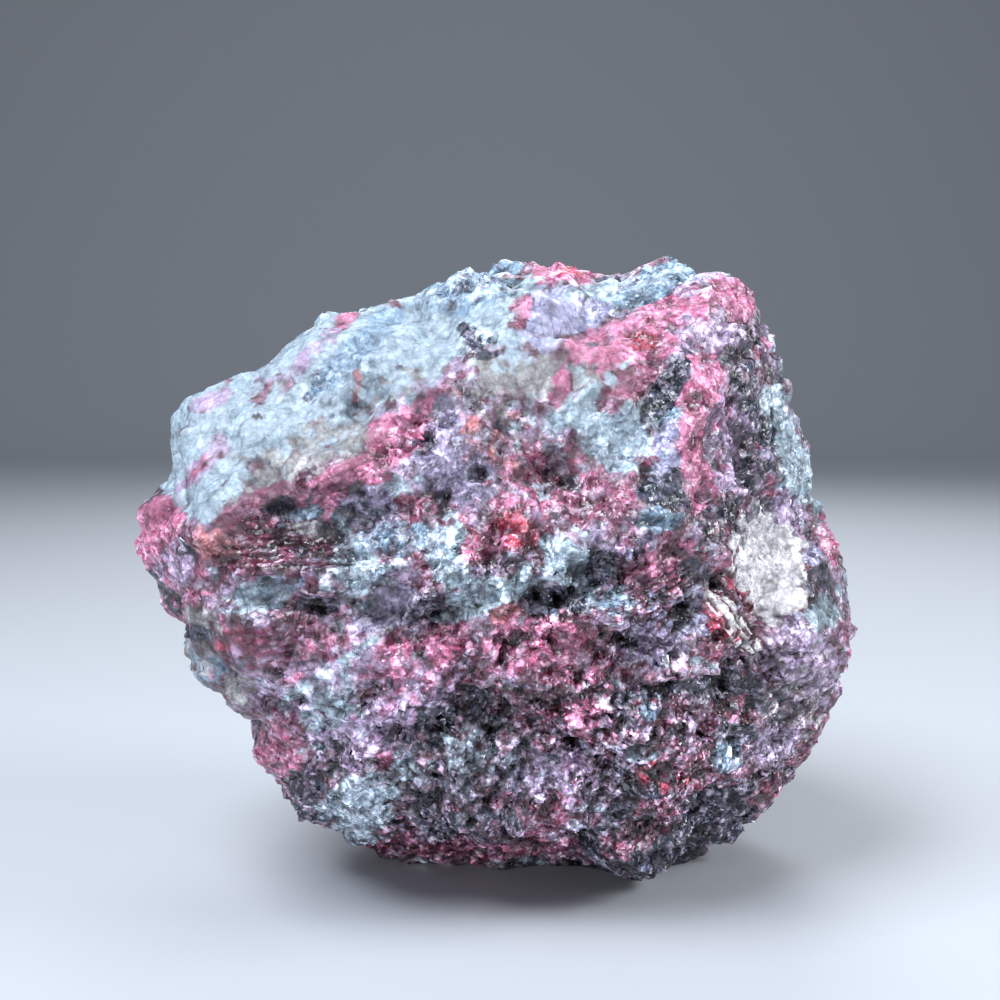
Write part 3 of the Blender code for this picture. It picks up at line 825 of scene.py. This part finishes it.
def mixed(tree, share, first, second, blend="MIX"):
    """Two colours mixed."""
    node = add(tree, "Mix", {0: share, 6: first, 7: second}, data_type="RGBA", blend_type=blend)
    return node.outputs[2]


def between(tree, share, first, second):
    """Two numbers mixed."""
    return add(tree, "Mix", {0: share, 2: first, 3: second}, data_type="FLOAT").outputs[0]


def ramp(tree, value, start, end, low=0.0, high=1.0):
    names = ("Value", "From Min", "From Max", "To Min", "To Max")
    inputs = dict(zip(names, (value, start, end, low, high)))
    return add(tree, "MapRange", inputs, interpolation_type="SMOOTHSTEP").outputs[0]


def read(tree, name, output="Fac"):
    return add(tree, "Attribute", {}, attribute_name=name).outputs[output]


def soft_noise(tree, where, size, detail=2.0, shift=0.0):
    moved = vectors(tree, "ADD", where, (shift, shift, shift))
    return add(tree, "TexNoise", {"Vector": moved, "Scale": 1 / size, "Detail": detail})


def cells(tree, where, size):
    """Grains of one size: a colour that tells each from the next, and the distance from its middle."""
    node = add(tree, "TexVoronoi", {"Vector": where, "Scale": 1 / size})
    return node.outputs["Color"], node.outputs["Distance"]


def drawn(tree, cell, number):
    """Three random numbers from 0 to 1 for each cell. Each number gives another draw."""
    inputs = {"Vector": cell, "W": float(number)}
    return add(tree, "TexWhiteNoise", inputs, noise_dimensions="4D").outputs["Color"]


def centred(tree, vector, scale):
    """A vector of numbers from 0 to 1, moved to lie around 0 and scaled."""
    return vectors(tree, "SCALE", vectors(tree, "SUBTRACT", vector, (0.5, 0.5, 0.5)), scale)


def grain_differences(tree, where, coarse):
    """A number for each mineral that differs from grain to grain, around 0."""
    sockets = []
    for number in range(math.ceil(len(MINERALS) / 3)):
        soft = soft_noise(tree, where, MIXING_SIZE, 1.0, MIXING_SHIFT * number).outputs["Color"]
        grain = centred(tree, drawn(tree, coarse, number), GRAIN_MIXING)
        total = vectors(tree, "ADD", centred(tree, soft, SOFT_MIXING), grain)
        sockets += add(tree, "SeparateXYZ", {0: total}).outputs[:]
    return sockets[: len(MINERALS)]


def laid_over(tree, differences, tone):
    """The minerals laid over each other: the colour and the roughness."""
    colour, rough = linear(BARE_COLOUR), BARE_ROUGHNESS
    for difference, (name, (darker, lighter, roughness, _)) in zip(differences, MINERALS.items()):
        over = maths(tree, "ADD", read(tree, name), difference)
        share = ramp(tree, over, 0.5 - SOFTNESS, 0.5 + SOFTNESS)
        colour = mixed(tree, share, colour, mixed(tree, tone, linear(darker), linear(lighter)))
        rough = between(tree, share, rough, roughness)
    return colour, rough


def bent_place(tree):
    """The place by which the grains are drawn, bent so that their borders wander."""
    place = read(tree, "place", "Vector")
    wander = soft_noise(tree, place, BENDING_SIZE, 1.0).outputs["Color"]
    return vectors(tree, "ADD", place, centred(tree, wander, BENDING))


def doublings(tree, light, crisp, ends):
    """Two to the power of light times a number that lies between the ends for calm and crisp rock."""
    return maths(tree, "POWER", 2.0, maths(tree, "MULTIPLY", light, between(tree, crisp, *ends)))


def grain_tone(tree, grains):
    """How light a place is by its grains, from 0 to 1."""
    tone = 0.0
    for number, (grain, weight) in enumerate(zip(grains, TONE_WEIGHTS)):
        tone = maths(tree, "MULTIPLY_ADD", drawn(tree, grain, TONE_DRAW + number), weight, tone)
    return tone


def speckled(tree, colour, where, grain, crisp):
    # Lays the painted glints and the painted shade of the gaps over the colour.
    for size, shift, limits, over, most in SPECKLES.values():
        speck = soft_noise(tree, where, size, 2.0, shift).outputs["Fac"]
        speck = maths(tree, "MULTIPLY_ADD", drawn(tree, grain, shift), SPECKLE_MIXING, speck)
        amount = between(tree, crisp, CALM_SPECKLES * most, most)
        share = maths(tree, "MULTIPLY", ramp(tree, speck, *limits), amount)
        colour = mixed(tree, share, colour, linear(over))
    return colour


def with_stripes(tree, colour):
    in_stripe = ramp(tree, maths(tree, "FRACT", read(tree, "stripe")), *STRIPE_EDGES)
    share = maths(tree, "MULTIPLY", in_stripe, read(tree, "striped"))
    return mixed(tree, share, colour, linear(STRIPE_COLOUR))


def shade_of(tree, distances, light, crisp):
    """How bright a place is: by its grains, and by painted shade where it lies deep and at its grains'
    borders.
    """
    shade = doublings(tree, light, crisp, LIGHTER)
    shade = maths(tree, "MULTIPLY", shade, between(tree, crisp, *BRIGHTNESS))
    shade = maths(tree, "MULTIPLY", shade, ramp(tree, read(tree, "height"), 0.0, 1.0, *SHADING))
    for distance, most in zip(distances, BORDER_DARKNESS):
        darkness = between(tree, crisp, CALM_BORDERS, most)
        border = maths(tree, "MULTIPLY", ramp(tree, distance, *BORDER_EDGES), darkness)
        shade = maths(tree, "MULTIPLY", shade, maths(tree, "SUBTRACT", 1.0, border))
    return shade


def roughness_of(tree, rough, grain, crisp):
    start = maths(tree, "SUBTRACT", rough, ROUGH_START)
    own = maths(tree, "MULTIPLY_ADD", drawn(tree, grain, ROUGH_DRAW), ROUGH_RANGE, start)
    return between(tree, ramp(tree, crisp, 0.0, DULL_END), DULL, own)


def broken_normal(tree, grains, crisp):
    """Each grain has broken along a face of its own, with fine grit on it."""
    lean = (0, 0, 0)
    for number, (grain, scale) in enumerate(zip(grains, FACE_LEANS)):
        own = centred(tree, drawn(tree, grain, LEAN_DRAW + number), scale)
        lean = vectors(tree, "ADD", lean, own)
    strength = maths(tree, "MULTIPLY", read(tree, "facets"), between(tree, crisp, *FACE_STRENGTH))
    smooth = add(tree, "NewGeometry", {}).outputs["Normal"]
    leaning = vectors(tree, "ADD", smooth, vectors(tree, "SCALE", lean, strength))
    normal = vectors(tree, "NORMALIZE", leaning, (0, 0, 0))
    exact = vectors(tree, "SCALE", add(tree, "TexCoord", {}).outputs["Object"], 1 / MM)
    grit = soft_noise(tree, exact, BUMP_SIZE).outputs["Fac"]
    inputs = {"Strength": BUMP_STRENGTH, "Distance": BUMP_DEPTH * MM, "Height": grit, "Normal": normal}
    return add(tree, "Bump", inputs).outputs[0]


def stone_material():
    material = bpy.data.materials.new("rhodonite_rock")
    material.use_nodes = True
    tree = material.node_tree
    shader = tree.nodes["Principled BSDF"]

    where = bent_place(tree)
    grains, distances = zip(*(cells(tree, where, size) for size in GRAIN_SIZES))
    coarse, middle, fine, _ = grains
    crisp = read(tree, "crisp")
    tone = grain_tone(tree, grains)
    light = maths(tree, "SUBTRACT", tone, 0.5)

    colour, rough = laid_over(tree, grain_differences(tree, where, coarse), tone)
    gamma = doublings(tree, light, crisp, DEEPER)
    colour = add(tree, "Gamma", {"Color": colour, "Gamma": gamma}).outputs[0]
    colour = with_stripes(tree, speckled(tree, colour, where, fine, crisp))
    shade = shade_of(tree, distances, light, crisp)
    put(tree, shader.inputs["Base Color"], mixed(tree, 1.0, colour, shade, blend="MULTIPLY"))

    put(tree, shader.inputs["Roughness"], roughness_of(tree, rough, middle, crisp))
    put(tree, shader.inputs["Normal"], broken_normal(tree, grains, crisp))
    shader.inputs["IOR"].default_value = ROCK_IOR
    return material


# ---- The studio ----

FLOOR_WIDTH, FLOOR_FRONT, FLOOR_BACK, WALL_HEIGHT, CURVE = 4.0, -1.0, 0.7, 1.6, 0.5  # in metres
CURVE_STEPS = 24
FLOOR_COLOUR, FLOOR_ROUGHNESS = (0.45, 0.46, 0.48), 0.7


def studio_floor():
    """A pale floor that curves up into a wall behind the stone. Distances are in metres."""
    profile = [(FLOOR_FRONT, 0.0)]
    for step in range(CURVE_STEPS + 1):
        turn = math.pi / 2 * step / CURVE_STEPS
        profile.append((FLOOR_BACK + CURVE * math.sin(turn), CURVE * (1 - math.cos(turn))))
    profile.append((FLOOR_BACK + CURVE, WALL_HEIGHT))
    corners = [(side * FLOOR_WIDTH / 2, y, z) for y, z in profile for side in (-1, 1)]
    faces = [(k, k + 1, k + 3, k + 2) for k in range(0, len(corners) - 2, 2)]
    mesh = bpy.data.meshes.new("studio_floor")
    mesh.from_pydata(corners, [], faces)
    mesh.shade_smooth()
    material = bpy.data.materials.new("pale_floor")
    material.use_nodes = True
    shader = material.node_tree.nodes["Principled BSDF"]
    shader.inputs["Base Color"].default_value = (*FLOOR_COLOUR, 1)
    shader.inputs["Roughness"].default_value = FLOOR_ROUGHNESS
    mesh.materials.append(material)
    new_piece("studio_floor", mesh)


# Each light: where it is, how wide it is (both in mm), its power, and its colour.
LIGHTS = {
    "key": ((-180, -190, 440), 240, 3.7, (0.86, 0.93, 1.04)),
    "front_fill": ((-240, -480, 110), 260, 0.8, (0.94, 0.95, 1.0)),
    "right": ((420, -80, 260), 180, 1.9, (0.90, 0.96, 1.0)),
    "back": ((60, 360, 330), 260, 1.0, (0.90, 0.96, 1.0)),
}
SKY_COLOUR, SKY_STRENGTH = (0.78, 0.87, 1.0), 0.25


def studio_lights():
    for name, (place, size, power, colour) in LIGHTS.items():
        light = bpy.data.lights.new(name, "AREA")
        light.size = size * MM
        light.energy = power
        light.color = colour
        lamp = bpy.data.objects.new(name, light)
        lamp.location = Vector(place) * MM
        lamp.rotation_mode = "QUATERNION"
        lamp.rotation_quaternion = (STONE_MIDDLE - Vector(place)).to_track_quat("-Z", "Y")
        bpy.context.scene.collection.objects.link(lamp)
    world = bpy.data.worlds.new("studio")
    world.use_nodes = True
    background = world.node_tree.nodes["Background"]
    background.inputs["Color"].default_value = (*SKY_COLOUR, 1)
    background.inputs["Strength"].default_value = SKY_STRENGTH
    bpy.context.scene.world = world


def camera():
    lens = bpy.data.cameras.new("photo_view")
    lens.sensor_width = SENSOR_WIDTH
    lens.lens = SENSOR_WIDTH * FOCAL_PIXELS / PICTURE
    lens.clip_start = CLIP_START
    view = bpy.data.objects.new("photo_view", lens)
    view.location = CAMERA_PLACE * MM
    view.rotation_euler = (math.radians(90) - CAMERA_PITCH, 0, 0)
    bpy.context.scene.collection.objects.link(view)
    bpy.context.scene.camera = view


def build():
    surface = stone_surface()
    stone = stone_piece(surface)
    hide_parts(NODE)
    pieces = [stone] + [grain_piece(surface, number) for number in range(GRAIN_PIECES)]
    material = stone_material()
    for piece in pieces:
        piece.data.materials.append(material)
        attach(piece, BODY)
    studio_floor()
    studio_lights()
    camera()
    bpy.context.scene.view_settings.view_transform = "Standard"


build()
